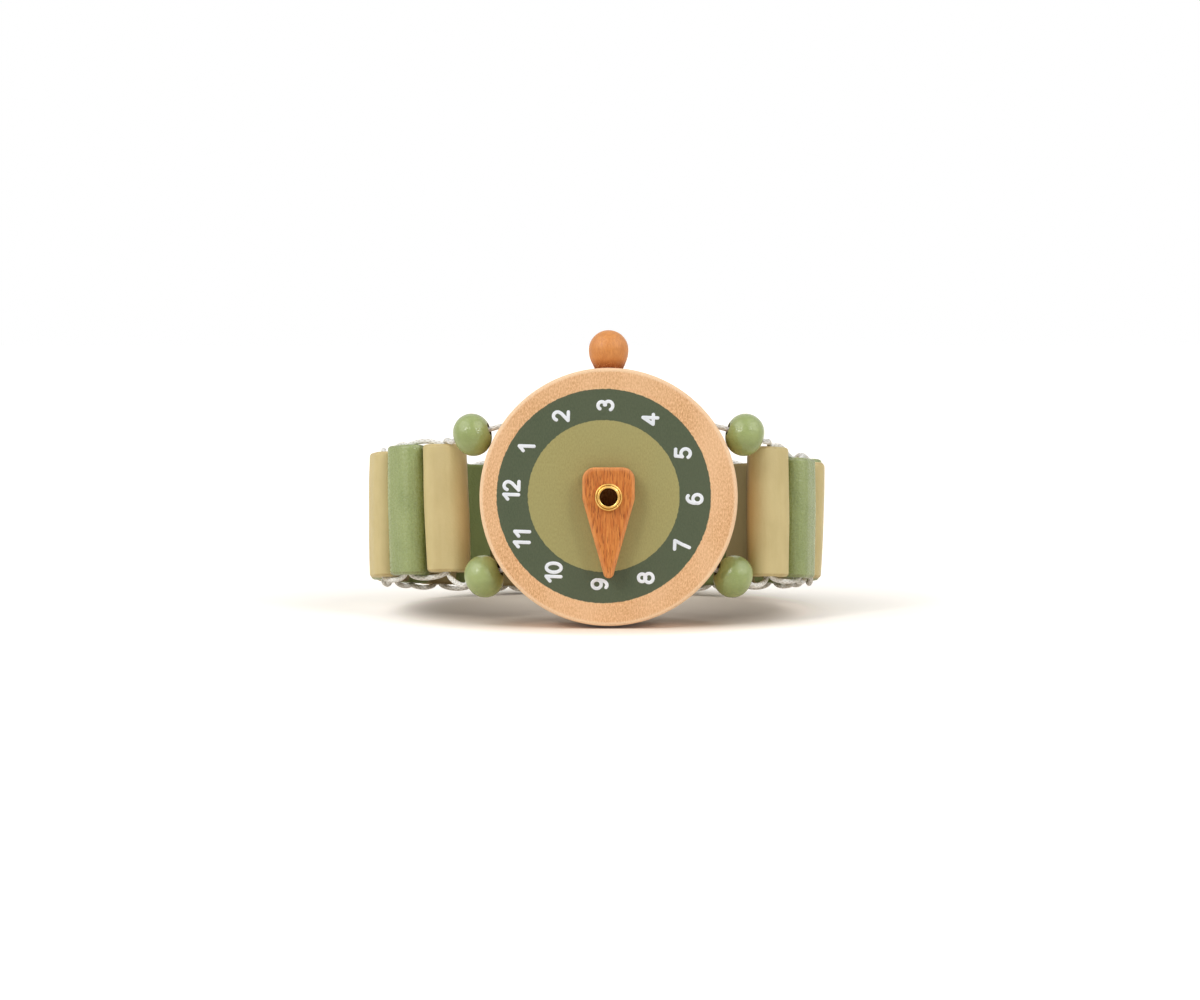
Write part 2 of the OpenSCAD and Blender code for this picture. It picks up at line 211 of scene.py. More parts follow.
def settle(piece, body, finish, slot, *nodes):
    """Give a piece its finish, let it ride on a body, and let it stand for CAD nodes."""
    piece.data.materials.append(finish)
    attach(piece, body)
    if nodes:
        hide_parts(*nodes)
    return piece


# %% Helpers for profiles
def quarter(middle_r, middle_y, radius, start, stop, count):
    """An arc of a profile: the angles run from start to stop, 0 pointing away from the axis."""
    a = np.radians(np.linspace(start, stop, count))
    return np.stack([middle_r + radius * np.cos(a), middle_y + radius * np.sin(a)], -1)


def full_turn(count):
    """Angles of so many columns, evenly round."""
    return np.radians(np.linspace(0, 360, count, endpoint=False))


def turned(profile, angles):
    """A lathe shape: every point (r, h) of the profile goes round the axis, h along z."""
    r, h = profile[:, None, 0], profile[:, None, 1]
    return np.stack([r * np.cos(angles), r * np.sin(angles), h + 0 * angles], -1)


def turned_deep(profile, angles):
    """A lathe shape whose axis goes into the case, so h is along y."""
    return turned(profile, angles)[..., [0, 2, 1]]


def wobble(p, seed, size):
    """A slow, seeded unevenness between -1 and 1: three crossed waves of about the given size."""
    turn = np.random.default_rng(seed).uniform(0, 2 * math.pi, 6)
    k = 2 * math.pi / size
    x, y, z = p[..., 0], p[..., 1], p[..., 2]
    return (
        np.sin(k * x + turn[0]) * np.cos(0.7 * k * y + turn[1])
        + np.sin(0.8 * k * y + turn[2]) * np.cos(0.6 * k * z + turn[3])
        + np.sin(0.9 * k * z + turn[4]) * np.cos(0.5 * k * x + turn[5])
    ) / 3


# %% [markdown]
# ## Finishes
#
# Colours are written as they look on screen and turned into Blender's linear values. Three effects
# come back in several finishes, so each is a shader node group that is built once: the streaks and
# pores of wood, the orange-peel skin of sprayed paint, and the thin paint along handled edges. The
# groups read the grain attribute, the piece's own frame in metres, so a pattern stays with its
# piece when the strap flexes.

# %% Helpers for shader nodes
def tint(r, g, b):
    """A colour from its screen values, 0 to 255, as a linear colour."""
    c = np.array([r, g, b]) / 255
    linear = np.where(c <= 0.04045, c / 12.92, ((c + 0.055) / 1.055) ** 2.4)
    return (*linear.tolist(), 1.0)


def add(tree, kind, inputs=None, **settings):
    """A node with its settings, and its inputs set or linked by name or number."""
    node = tree.nodes.new("ShaderNode" + kind)
    for key, value in settings.items():
        setattr(node, key, value)
    for key, value in (inputs or {}).items():
        if isinstance(value, bpy.types.NodeSocket):
            tree.links.new(value, node.inputs[key])
        else:
            node.inputs[key].default_value = value
    return node


def blended(tree, share, under, over):
    """A colour mixed from two by a share."""
    return add(tree, "Mix", {0: share, 6: under, 7: over}, data_type="RGBA").outputs[2]


def sums(tree, operation, a, b=0.0, clamp=False):
    """One step of arithmetic on values."""
    return add(tree, "Math", {0: a, 1: b}, operation=operation, use_clamp=clamp).outputs[0]


def washed(tree, mask, amount, under, over):
    """A colour with a wash of another over it: the share is the mask times the amount."""
    return blended(tree, sums(tree, "MULTIPLY", mask, amount), under, over)


def off_centre(tree, a, b):
    """The distance from the middle: the square root of both ways squared and added."""
    squares = [sums(tree, "MULTIPLY", way, way) for way in (a, b)]
    return sums(tree, "SQRT", sums(tree, "ADD", *squares))


def ramped(tree, value, low, high, to_low=0.0, to_high=1.0):
    """A value stretched from low..high to to_low..to_high, softly and without going past."""
    return add(
        tree, "MapRange",
        {"Value": value, "From Min": low, "From Max": high, "To Min": to_low, "To Max": to_high},
        interpolation_type="SMOOTHSTEP",
    ).outputs[0]


def stretched(tree, vector, scale):
    """The grain's place, multiplied along each axis."""
    return add(tree, "VectorMath", {0: vector, 1: scale}, operation="MULTIPLY").outputs[0]


def cloudy(tree, vector, detail, rough):
    """Noise at a place that is already stretched to its size."""
    return add(
        tree, "TexNoise", {"Vector": vector, "Scale": 1.0, "Detail": detail, "Roughness": rough},
    ).outputs[0]


def effect(name, inputs, outputs):
    """An empty node group with named sockets."""
    group = bpy.data.node_groups.new(name, "ShaderNodeTree")
    ends = [group.nodes.new("NodeGroup" + end) for end in ("Input", "Output")]
    for label, kind, value in inputs:
        socket = group.interface.new_socket(label, in_out="INPUT", socket_type="NodeSocket" + kind)
        if value is not None:
            socket.default_value = value
    for label in outputs:
        group.interface.new_socket(label, in_out="OUTPUT", socket_type="NodeSocketFloat")
    return group, ends[0].outputs, ends[1].inputs


def used(tree, group, inputs):
    """A group placed in a material with its own values."""
    node = tree.nodes.new("ShaderNodeGroup")
    node.node_tree = group
    for key, value in inputs.items():
        if isinstance(value, bpy.types.NodeSocket):
            tree.links.new(value, node.inputs[key])
        else:
            node.inputs[key].default_value = value
    return node.outputs


# %% Wood streaks, paint skin and handled edges
wood_streaks, given, made = effect(
    "Wood streaks",
    [("Place", "Vector", None), ("Across", "Float", 900.0), ("Along", "Float", 60.0)],
    ["Streak", "Pore", "Cloud"],
)
spread = add(
    wood_streaks, "CombineXYZ", {0: given["Across"], 1: given["Across"], 2: given["Along"]}
)
fibre = stretched(wood_streaks, given["Place"], spread.outputs[0])
streak = cloudy(wood_streaks, fibre, 5.0, 0.62)
pore = cloudy(wood_streaks, stretched(wood_streaks, fibre, (2.6, 2.6, 1.9)), 2.0, 0.5)
cloud = cloudy(wood_streaks, stretched(wood_streaks, given["Place"], (110, 110, 60)), 2.0, 0.5)
wood_streaks.links.new(ramped(wood_streaks, streak, 0.32, 0.68), made["Streak"])
wood_streaks.links.new(ramped(wood_streaks, pore, 0.55, 0.66), made["Pore"])
wood_streaks.links.new(ramped(wood_streaks, cloud, 0.3, 0.7), made["Cloud"])

paint_skin, given, made = effect(
    "Paint skin",
    [("Place", "Vector", None), ("Size", "Float", 900.0)],
    ["Peel", "Mottle", "Speck"],
)
dimple = stretched(paint_skin, given["Place"], given["Size"])
peel = cloudy(paint_skin, dimple, 1.5, 0.45)
mottle = cloudy(paint_skin, stretched(paint_skin, given["Place"], (260, 260, 150)), 3.0, 0.6)
speck = cloudy(paint_skin, stretched(paint_skin, dimple, (3.1, 3.1, 3.1)), 2.0, 0.5)
paint_skin.links.new(peel, made["Peel"])
paint_skin.links.new(ramped(paint_skin, mottle, 0.32, 0.68), made["Mottle"])
paint_skin.links.new(ramped(paint_skin, speck, 0.58, 0.75), made["Speck"])

handled_edge, given, made = effect(
    "Handled edge",
    [("Place", "Vector", None), ("Edge", "Float", 0.0), ("Reach", "Float", 0.5)],
    ["Wear"],
)
ragged = cloudy(handled_edge, stretched(handled_edge, given["Place"], (1100, 1100, 700)), 4.0, 0.65)
worn = sums(handled_edge, "ADD", given["Edge"], sums(handled_edge, "SUBTRACT", ragged, 1.0))
handled_edge.links.new(
    ramped(handled_edge, sums(handled_edge, "ADD", worn, given["Reach"]), 0.45, 0.75), made["Wear"]
)
print("Effects:", [g.name for g in (wood_streaks, paint_skin, handled_edge)])


# %% Helpers that start and end a finish
def new_finish(name):
    """A material with its tree, its Principled shader, and the grain and edge attributes."""
    finish = bpy.data.materials.new(name)
    finish.use_nodes = True
    tree = finish.node_tree
    shader = tree.nodes["Principled BSDF"]
    grain = add(tree, "Attribute", attribute_name="grain").outputs["Vector"]
    edge = add(tree, "Attribute", attribute_name="edge").outputs["Fac"]
    return finish, tree, shader, grain, edge


def coat(tree, shader, colour, rough, height, strength, distance, shine=0.5):
    """Lead a colour, a roughness and, through a Bump node, a height into the shader, and set how
    strongly it mirrors."""
    bump = add(tree, "Bump", {"Height": height, "Strength": strength, "Distance": distance})
    tree.links.new(colour, shader.inputs["Base Color"])
    tree.links.new(rough, shader.inputs["Roughness"])
    tree.links.new(bump.outputs[0], shader.inputs["Normal"])
    shader.inputs["Specular IOR Level"].default_value = shine


# %% [markdown]
# ## The case
#
# The real case is one disc of pale wood, turned or cut from a board, with both rims lightly
# rounded and sanded. Two cross bores carry the elastic, so the rim has four small holes in it. The
# disc is a profile carried round the case's axis; the columns stand close together where the bores
# come out, and the points inside a bore's width are pushed in along the bore. A Boolean would cut
# the same holes, but it leaves long thin faces that shade badly.

# %% Turn the case
CASE_R, CASE_T, RIM_R = 20.0, 10.0, 0.4
BORE_RISE, BORE_DEPTH, BORE_R = 11.2, 4.4, 1.1
RIVET_HOLE_R, RIVET_HOLE_DEPTH = 1.6, 7.6

bore_turn = math.degrees(math.asin(BORE_RISE / CASE_R))
mouths = np.array([bore_turn, 180 - bore_turn, 180 + bore_turn, 360 - bore_turn])
coarse = np.arange(0, 360, 2.0)
coarse = coarse[np.abs(coarse[:, None] - mouths).min(1) > 5.2]
fine = (mouths[:, None] + np.arange(-5.0, 5.01, 0.32)).ravel()
case_angles = np.radians(np.sort(np.concatenate([coarse, fine])))
rim_rows = np.concatenate([
    np.linspace(RIM_R, BORE_DEPTH - 1.4, 7)[:-1],
    np.linspace(BORE_DEPTH - 1.4, BORE_DEPTH + 1.4, 29),
    np.linspace(BORE_DEPTH + 1.4, CASE_T - RIM_R, 9)[1:],
])
case_profile = np.concatenate([
    [[0, RIVET_HOLE_DEPTH], [RIVET_HOLE_R, RIVET_HOLE_DEPTH]],
    [[RIVET_HOLE_R, 2.0], [RIVET_HOLE_R, 0.08], [RIVET_HOLE_R + 0.08, 0]],
    np.stack([np.linspace(2.2, CASE_R - RIM_R - 0.3, 24), np.zeros(24)], -1),
    quarter(CASE_R - RIM_R, RIM_R, RIM_R, -90, 0, 9)[:-1],
    np.stack([np.full(len(rim_rows), CASE_R), rim_rows], -1),
    quarter(CASE_R - RIM_R, CASE_T - RIM_R, RIM_R, 0, 90, 9)[1:],
    np.stack([np.linspace(CASE_R - RIM_R - 0.3, 0, 12), np.full(12, CASE_T)], -1),
])
case_grid = turned_deep(case_profile, case_angles)
print("Case rows and columns:", case_grid.shape[:2])

# %% Push in the bores and mark the edges for sanded wear and a painted highlight
BORE_PUSH, BORE_SOFT, EDGE_REACH = 3.2, 0.16, 0.25
out, back = case_profile.T
on_rim = (out > CASE_R - 0.01)[:, None]
off_bore = np.hypot(case_grid[..., 1] - BORE_DEPTH, np.abs(case_grid[..., 2]) - BORE_RISE)
pushed = np.clip((BORE_R + 0.06 - off_bore) / BORE_SOFT, 0, 1)
pushed = np.where(on_rim, pushed * pushed * (3 - 2 * pushed), 0)
case_grain = case_grid.copy()
case_grid[..., 0] -= BORE_PUSH * pushed * np.sign(case_grid[..., 0])
to_face = np.minimum(back, CASE_T - back)
off_round = np.abs(np.hypot(out - (CASE_R - RIM_R), to_face - RIM_R) - RIM_R)
at_corner = (out > CASE_R - RIM_R - 0.01) & (to_face < RIM_R + 0.01)
near_edge = np.clip(1 - off_round / EDGE_REACH, 0, 1) * at_corner
case_wear_and_sheen = np.repeat(near_edge[:, None], len(case_angles), 1)
case_piece = skin_grids(
    "turned_case", [on_watch(case_grid)], [case_grain], ring=False, edges=[case_wear_and_sheen]
)
print("Case faces:", len(case_piece.data.polygons))

# %% [markdown]
# The dial is printed: a dark green ring and an olive middle, a little off the disc's centre as on
# the real watch, over wood whose grain shows through. Paint has no thickness to model, so it is two
# round masks in the material, measured from the print's own centre and limited to the front face.
# The masks' borders waver by a few hundredths of a millimetre, as ink does on wood.

# %% Finish the case
PRINT_MIDDLE, PRINT_WAVER = (-0.75, 0.15), 0.22
RING_R, OLIVE_R, FRONT_DEPTH = 16.6, 11.75, 0.3
case_wood, tree, shader, grain, edge = new_finish("Disc wood and dial print")
wood = used(tree, wood_streaks, {"Place": grain, "Across": 5200.0, "Along": 2300.0})
skin = used(tree, paint_skin, {"Place": grain, "Size": 1700.0})
bare = blended(tree, wood["Streak"], tint(200, 142, 88), tint(246, 203, 156))
bare = washed(tree, wood["Pore"], 0.4, bare, tint(196, 134, 80))
bare = washed(tree, wood["Cloud"], 0.5, bare, tint(246, 204, 160))
# The rounded edges are paler: partly sanded wood, partly a painted highlight along the rim.
bare = washed(tree, edge, 0.6, bare, tint(252, 222, 186))
parts = add(tree, "SeparateXYZ", {0: grain}).outputs
waver = sums(tree, "MULTIPLY", sums(tree, "SUBTRACT", skin["Peel"], 0.5), PRINT_WAVER * MM)
from_x = sums(tree, "SUBTRACT", parts[0], PRINT_MIDDLE[0] * MM)
from_z = sums(tree, "SUBTRACT", parts[2], PRINT_MIDDLE[1] * MM)
reach = sums(tree, "ADD", off_centre(tree, from_x, from_z), waver)
in_front = sums(tree, "LESS_THAN", parts[1], FRONT_DEPTH * MM)


def printed(radius, soft):
    """A round mask on the front face: 1 within the radius, and 0 outside past a soft border."""
    inside = ramped(tree, reach, (radius + soft) * MM, (radius - soft) * MM)
    return sums(tree, "MULTIPLY", inside, in_front)


in_ring, in_olive = printed(RING_R, 0.04), printed(OLIVE_R, 0.05)
ring_paint = blended(tree, wood["Streak"], tint(72, 82, 61), tint(84, 94, 70))
ring_paint = washed(tree, wood["Cloud"], 0.4, ring_paint, tint(85, 92, 71))
olive_paint = blended(tree, wood["Streak"], tint(157, 148, 94), tint(171, 162, 106))
olive_paint = washed(tree, wood["Cloud"], 0.4, olive_paint, tint(160, 156, 104))
colour = blended(tree, in_ring, bare, ring_paint)
colour = blended(tree, in_olive, colour, olive_paint)
sanded = sums(tree, "ADD", 0.6, sums(tree, "MULTIPLY", wood["Streak"], 0.12))
rough = sums(tree, "SUBTRACT", sanded, sums(tree, "MULTIPLY", in_ring, 0.12))
relief = sums(tree, "SUBTRACT", wood["Streak"], sums(tree, "MULTIPLY", wood["Pore"], 0.7))
coat(tree, shader, colour, rough, relief, 0.35, 0.00004, 0.3)
settle(case_piece, "case", case_wood, "case_wood", "case_disc")
print("Finish:", case_wood.name)

# %% [markdown]
# ## The numerals
#
# Twelve numerals in white paint stand round the ring. They all point the same way, towards the 12,
# as a child would read them, and the photograph shows the watch turned so that the 12 is on the
# left. Each digit is a few strokes: arcs and straight lines as lists of points. A low rounded
# profile is carried along each stroke, with half a circle at both ends, like a line from a paint
# pen. Blender's text would need a typeface; strokes need none and keep their round ends.

# %% Draw the digits
STROKE, FILM = 0.265, 0.045
TOP, HALF = 1.14, 0.70


def arc(middle, across_r, up_r, start, stop, count=28):
    """Points on part of an ellipse; angles in degrees, anticlockwise from the right."""
    a = np.radians(np.linspace(start, stop, count))
    return np.stack([middle[0] + across_r * np.cos(a), middle[1] + up_r * np.sin(a)], -1)


def line(*points):
    """Straight lines from point to point."""
    return np.array(points, float)


nine = [
    arc((0, 0.44), 0.66, 0.70, 0, 360, 48),
    np.concatenate([line((0.66, 0.44)), arc((-0.1, 0.05), 0.76, 1.19, 12, -118, 30)]),
]
DIGITS = {
    "0": [arc((0, 0), HALF, TOP, 0, 360, 56)],
    "1": [line((0.30, -TOP), (0.30, TOP)), line((0.30, TOP), (-0.42, 0.52))],
    "2": [
        np.concatenate([
            arc((0, 0.50), 0.62, 0.64, 165, -20, 24),
            line((0.40, -0.08), (-0.64, -TOP)),
        ]),
        line((-0.64, -TOP), (0.68, -TOP)),
    ],
    "3": [
        arc((-0.02, 0.56), 0.58, 0.58, 152, -78, 28),
        arc((-0.02, -0.50), 0.68, 0.64, 80, -150, 28),
    ],
    "4": [
        line((0.26, TOP), (-0.74, -0.46)),
        line((-0.74, -0.46), (0.76, -0.46)),
        line((0.26, TOP), (0.26, -TOP)),
    ],
    "5": [
        line((0.58, TOP), (-0.46, TOP)),
        line((-0.46, TOP), (-0.54, 0.06)),
        arc((-0.02, -0.42), 0.70, 0.72, 138, -146, 34),
    ],
    "6": [-stroke for stroke in nine],
    "7": [line((-0.66, TOP), (0.66, TOP)), line((0.66, TOP), (0.12, 0.0), (-0.34, -TOP))],
    "8": [arc((0, 0.56), 0.58, 0.56, 0, 360, 44), arc((0, -0.50), 0.70, 0.64, 0, 360, 48)],
    "9": nine,
}


# %% Helpers for painted strokes
def evenly(path, step=0.07):
    """The same path with points a step apart."""
    run = np.concatenate([[0], np.cumsum(np.linalg.norm(np.diff(path, axis=0), axis=1))])
    at = np.linspace(0, run[-1], max(int(run[-1] / step), 6))
    return np.stack([np.interp(at, run, path[:, k]) for k in range(path.shape[1])], -1)


def pen_line(path):
    """A painted line: across the path the film is a low arch with a flat underside, and past both
    ends its width follows a half circle down to nothing."""
    path = evenly(path)
    along = np.gradient(path, axis=0)
    along /= np.linalg.norm(along, axis=1, keepdims=True)
    cap = np.radians(np.linspace(90, 0, 7))[:-1, None]
    middle = np.concatenate([
        path[0] - along[0] * STROKE * np.sin(cap), path,
        (path[-1] + along[-1] * STROKE * np.sin(cap))[::-1],
    ])
    width = np.concatenate([np.cos(cap), np.ones((len(path), 1)), np.cos(cap)[::-1]])
    along = np.concatenate([np.repeat(along[:1], 6, 0), along, np.repeat(along[-1:], 6, 0)])
    beside = np.stack([-along[:, 1], along[:, 0]], -1)
    t = np.linspace(-1, 1, 9)
    out = np.concatenate([t, [0.6, 0.0, -0.6]])
    up = np.concatenate([FILM * (1 - t ** 4), np.full(3, -0.02)])
    flat = middle[:, None] + beside[:, None] * (width * out)[..., None] * STROKE
    return np.concatenate([flat, (width * up + 0 * out)[..., None]], -1)


# %% Set the numerals on the dial
# Their middles, across and up, in millimetres from the disc's centre.
NUMERALS = {
    "12": (-15.06, 0.91), "1": (-12.69, 7.58), "2": (-7.39, 12.52), "3": (-0.50, 14.16),
    "4": (6.45, 12.02), "5": (11.50, 6.78), "6": (13.31, -0.28), "7": (11.38, -7.45),
    "8": (5.75, -12.53), "9": (-1.39, -13.52), "10": (-8.52, -11.78), "11": (-13.42, -6.48),
}
PRINT_TURN = math.radians(2.0)
DIGIT_STEP = 1.66
strokes = []
for numeral, (x, z) in NUMERALS.items():
    for place, digit in enumerate(numeral):
        shift = (place - (len(numeral) - 1) / 2) * DIGIT_STEP
        for stroke in DIGITS[digit]:
            film = pen_line(stroke + np.array([shift, 0]))
            # A digit's right is up on the dial, and its top is left, turned a little clockwise.
            c, s = math.cos(PRINT_TURN), math.sin(PRINT_TURN)
            left, up = film[..., 1], film[..., 0]
            strokes.append(np.stack(
                [x - left * c + up * s, -film[..., 2], z + left * s + up * c], -1
            ))
numerals_piece = skin_grids("dial_numerals", [on_watch(s) for s in strokes], strokes, ring=False)
print("Strokes:", len(strokes), "faces:", len(numerals_piece.data.polygons))

# %% Finish the numerals
numeral_paint, tree, shader, grain, edge = new_finish("White numeral paint")
skin = used(tree, paint_skin, {"Place": grain, "Size": 2600.0})
white = blended(tree, skin["Mottle"], tint(226, 231, 238), tint(240, 243, 248))
white = washed(tree, skin["Speck"], 0.35, white, tint(196, 204, 208))
rough = ramped(tree, skin["Peel"], 0.3, 0.7, 0.5, 0.68)
coat(tree, shader, white, rough, skin["Peel"], 0.2, 0.00003)
settle(numerals_piece, "case", numeral_paint, "case_wood")
print("Finish:", numeral_paint.name)

# %% [markdown]
# ## The hand
#
# The hand is a small slat of wood, sawn to a teardrop, stained orange and drilled for the eyelet.
# Its sides are straight lines from the widest point to a rounded tip. The outline is sampled at even
# steps, and rows of it are stacked from the bore at the back, over the side, to the bore in front;
# near the faces the rows are drawn in a little, which eases the edges as sanding does.

# %% Shape the hand
HAND_W, HAND_TAIL, HAND_REACH = 8.1, 4.6, 12.5
HAND_CORNER_R, HAND_TIP_R = 1.9, 0.8
HAND_T, HAND_GAP, HAND_BORE_R = 2.4, 0.3, 1.65


def hand_outline(draw_in):
    """The teardrop drawn in by a distance: tail corners and tip keep their middles and lose radius,
    and the straight sides stay tangent between them."""
    half, tip = HAND_W / 2, HAND_REACH - HAND_TIP_R
    length = math.hypot(half, tip)
    lean = math.degrees(math.atan2(half, tip) - math.asin(HAND_TIP_R / length))
    tip_r, corner_r = HAND_TIP_R - draw_in, HAND_CORNER_R - draw_in
    corner = (half - HAND_CORNER_R, HAND_CORNER_R - HAND_TAIL)
    belly = (half - HAND_CORNER_R, 0.0)
    right = np.concatenate([
        arc(corner, corner_r, corner_r, -90, 0, 16),
        arc(belly, corner_r, corner_r, 0, lean, 6),
    ])
    tip_arc = arc((0, tip), tip_r, tip_r, lean, 180 - lean, 26)
    left = right[::-1] * np.array([-1, 1])
    return np.concatenate([right, tip_arc, left])


def loop_evenly(path, count):
    """A closed path sampled at even steps."""
    closed = np.concatenate([path, path[:1]])
    run = np.concatenate([[0], np.cumsum(np.linalg.norm(np.diff(closed, axis=0), axis=1))])
    at = np.linspace(0, run[-1], count, endpoint=False)
    return np.stack([np.interp(at, run, closed[:, k]) for k in range(2)], -1)


# %% Stack the hand's rows
HAND_COLUMNS = 220
side = np.concatenate([
    [[0.10, 0.0]], quarter(0, 0.12, 0.12, -60, 0, 4) * [-1, 1] + [0.12, 0],
    [[0.0, 0.8], [0.0, 1.4]],
    quarter(0, HAND_T - 0.32, 0.32, 0, 90, 8) * [-1, 1] + [0.32, 0],
])
outer_rows = np.stack([loop_evenly(hand_outline(d), HAND_COLUMNS) for d in side[:, 0]])
turn = np.arctan2(outer_rows[4, :, 1], outer_rows[4, :, 0])
round_bore = np.stack([np.cos(turn), np.sin(turn)], -1)
face_steps = np.linspace(0, 1, 9)[1:-1, None, None]
front_rows = outer_rows[-1] * (1 - face_steps) + round_bore * (HAND_BORE_R + 0.12) * face_steps
back_rows = outer_rows[0] * (1 - face_steps) + round_bore * (HAND_BORE_R + 0.05) * face_steps
back_rows = back_rows[::-1]
bore_heights = np.array([HAND_T, HAND_T - 0.03, HAND_T - 0.12, 1.2, 0.1, 0.0])
bore_radii = HAND_BORE_R + np.array([0.12, 0.04, 0.0, 0.0, 0.0, 0.05])
bore_rows = round_bore * bore_radii[:, None, None]
flat = np.concatenate([outer_rows, front_rows, bore_rows, back_rows])
height = np.concatenate([
    side[:, 1], np.full(len(front_rows), HAND_T), bore_heights, np.zeros(len(back_rows)),
])[:, None] + np.zeros(HAND_COLUMNS)
hand_own = np.stack([flat[..., 0], -HAND_GAP - height, -flat[..., 1]], -1)
hand_wear_and_sheen = np.concatenate([
    np.clip(1 - np.abs(side[:, 1] - (HAND_T - 0.1)) / 0.3, 0, 1), np.zeros(len(flat) - len(side)),
])[:, None] + np.zeros(HAND_COLUMNS)
hand_piece = skin_grids("stained_hand", [on_watch(hand_own)], [hand_own], edges=[hand_wear_and_sheen])
print("Hand faces:", len(hand_piece.data.polygons))

# %% [markdown]
# Stain sinks into open pores and leaves them dark, so the hand shows fine dark lines along its
# length on a bright orange ground. The streaks are noise that is squeezed across the grain and
# drawn out along it. The front edge is paler, partly sanded wood and partly a painted highlight.

# %% Finish the hand
hand_wood, tree, shader, grain, edge = new_finish("Orange stained wood")
wood = used(tree, wood_streaks, {"Place": grain, "Across": 2900.0, "Along": 330.0})
stain = blended(tree, wood["Streak"], tint(180, 94, 36), tint(220, 142, 68))
stain = washed(tree, wood["Pore"], 0.9, stain, tint(122, 50, 12))
stain = washed(tree, wood["Cloud"], 0.25, stain, tint(208, 124, 56))
# The front edge is paler: partly sanded wood, partly a painted highlight.
stain = washed(tree, edge, 0.5, stain, tint(236, 166, 106))
rough = ramped(tree, wood["Streak"], 0, 1, 0.5, 0.62)
relief = sums(tree, "SUBTRACT", wood["Streak"], wood["Pore"])
coat(tree, shader, stain, rough, relief, 0.5, 0.00005, 0.35)
settle(hand_piece, "hand", hand_wood, "hand_wood", "hand")
print("Finish:", hand_wood.name)

# %% [markdown]
# ## The eyelet
#
# A hollow brass eyelet goes through the hand into the case. Its flange was rolled over in a press,
# which leaves a full inner roll round the hole, a sharp groove and a thin outer lip. The profile is
# that section, closed on itself, and goes once round the axis.

# %% Roll the eyelet
EYE_HOLE_R, EYE_BARREL_R, EYE_FLANGE_R = 1.35, 1.6, 2.12
EYE_FRONT, EYE_DEPTH = -(HAND_GAP + HAND_T + 0.05), 7.0
eye_profile = np.concatenate([
    [[EYE_HOLE_R, h] for h in (EYE_DEPTH, 3.0, EYE_FRONT, EYE_FRONT - 0.4)],
    quarter(EYE_HOLE_R + 0.22, EYE_FRONT - 0.56, 0.22, 180, 345, 18),
    [[EYE_HOLE_R + 0.45, EYE_FRONT - 0.38]],
    quarter(EYE_HOLE_R + 0.61, EYE_FRONT - 0.42, 0.16, 200, 360, 14),
    [[EYE_FLANGE_R, EYE_FRONT - 0.2], [EYE_FLANGE_R - 0.06, EYE_FRONT - 0.02]],
    [[EYE_BARREL_R, h] for h in (EYE_FRONT, 3.0, EYE_DEPTH - 0.1)],
    [[EYE_BARREL_R - 0.1, EYE_DEPTH]],
])
eye_own = turned_deep(eye_profile, full_turn(96))
eyelet_piece = skin_grids("rolled_eyelet", [on_watch(eye_own)], [eye_own], crease=50)
print("Eyelet faces:", len(eyelet_piece.data.polygons))

# %% Finish the eyelet
brass, tree, shader, grain, edge = new_finish("Rolled brass")
skin = used(tree, paint_skin, {"Place": grain, "Size": 2400.0})
metal = blended(tree, skin["Mottle"], tint(206, 160, 82), tint(228, 190, 116))
metal = washed(tree, skin["Speck"], 0.4, metal, tint(150, 108, 50))
rough = ramped(tree, skin["Peel"], 0.3, 0.7, 0.14, 0.26)
coat(tree, shader, metal, rough, skin["Peel"], 0.25, 0.00004)
shader.inputs["Metallic"].default_value = 1.0
settle(eyelet_piece, "case", brass, "brass", "rivet")
print("Finish:", brass.name)

# %% [markdown]
# ## The crown
#
# The crown is a small knob turned on a lathe, stained like the hand and glued to the rim. Its upper
# half is round, and below its widest place it is drawn in more slowly, along a larger arc. It sits
# on a round rim, so the lowest rows follow the case's cylinder: their height is the square root of
# the case's radius squared less the sideways distance squared. The foot's radius wavers where stain
# and glue have run.

# %% Turn the crown
CROWN_R, CROWN_BELLY_R, CROWN_RISE = 3.1, 4.7, 2.9
FOOT_WAVER, FOOT_H = 0.05, 0.6
crown_angles = full_turn(96)
meet = -math.degrees(math.asin(CROWN_RISE / CROWN_BELLY_R))
belly = quarter(CROWN_R - CROWN_BELLY_R, CASE_R + CROWN_RISE, CROWN_BELLY_R, meet, 0, 24)
dome = quarter(0, CASE_R + CROWN_RISE, CROWN_R, 0, 90, 28)[1:]
crown_profile = np.concatenate([
    [[0, CASE_R], [belly[0, 0] * 0.6, CASE_R]], belly, dome,
])
crown_profile[-1, 0] = 0
r, h = crown_profile[:, None, 0], crown_profile[:, None, 1]
run = np.clip(1.15 - (h - CASE_R) / 1.2, 0, 1) * (r > 2)
waves = np.sin(5 * crown_angles + 0.6) + np.sin(11 * crown_angles + 2.0)
ragged_r = r + run * FOOT_WAVER * waves
x, y = ragged_r * np.cos(crown_angles), ragged_r * np.sin(crown_angles)
on_case = np.sqrt(CASE_R ** 2 - x ** 2) - CASE_R
z = h + on_case * np.clip(1 - (h - CASE_R) / FOOT_H, 0, 1) - 0.01 * (h <= CASE_R)
crown_own = np.stack([x, y, z], -1)
crown_piece = skin_grids(
    "ball_crown", [on_watch(crown_own + np.array([0, CASE_T / 2, 0]))], [crown_own], ring=False,
    edges=[run + 0 * crown_angles],
)
print("Crown faces:", len(crown_piece.data.polygons))

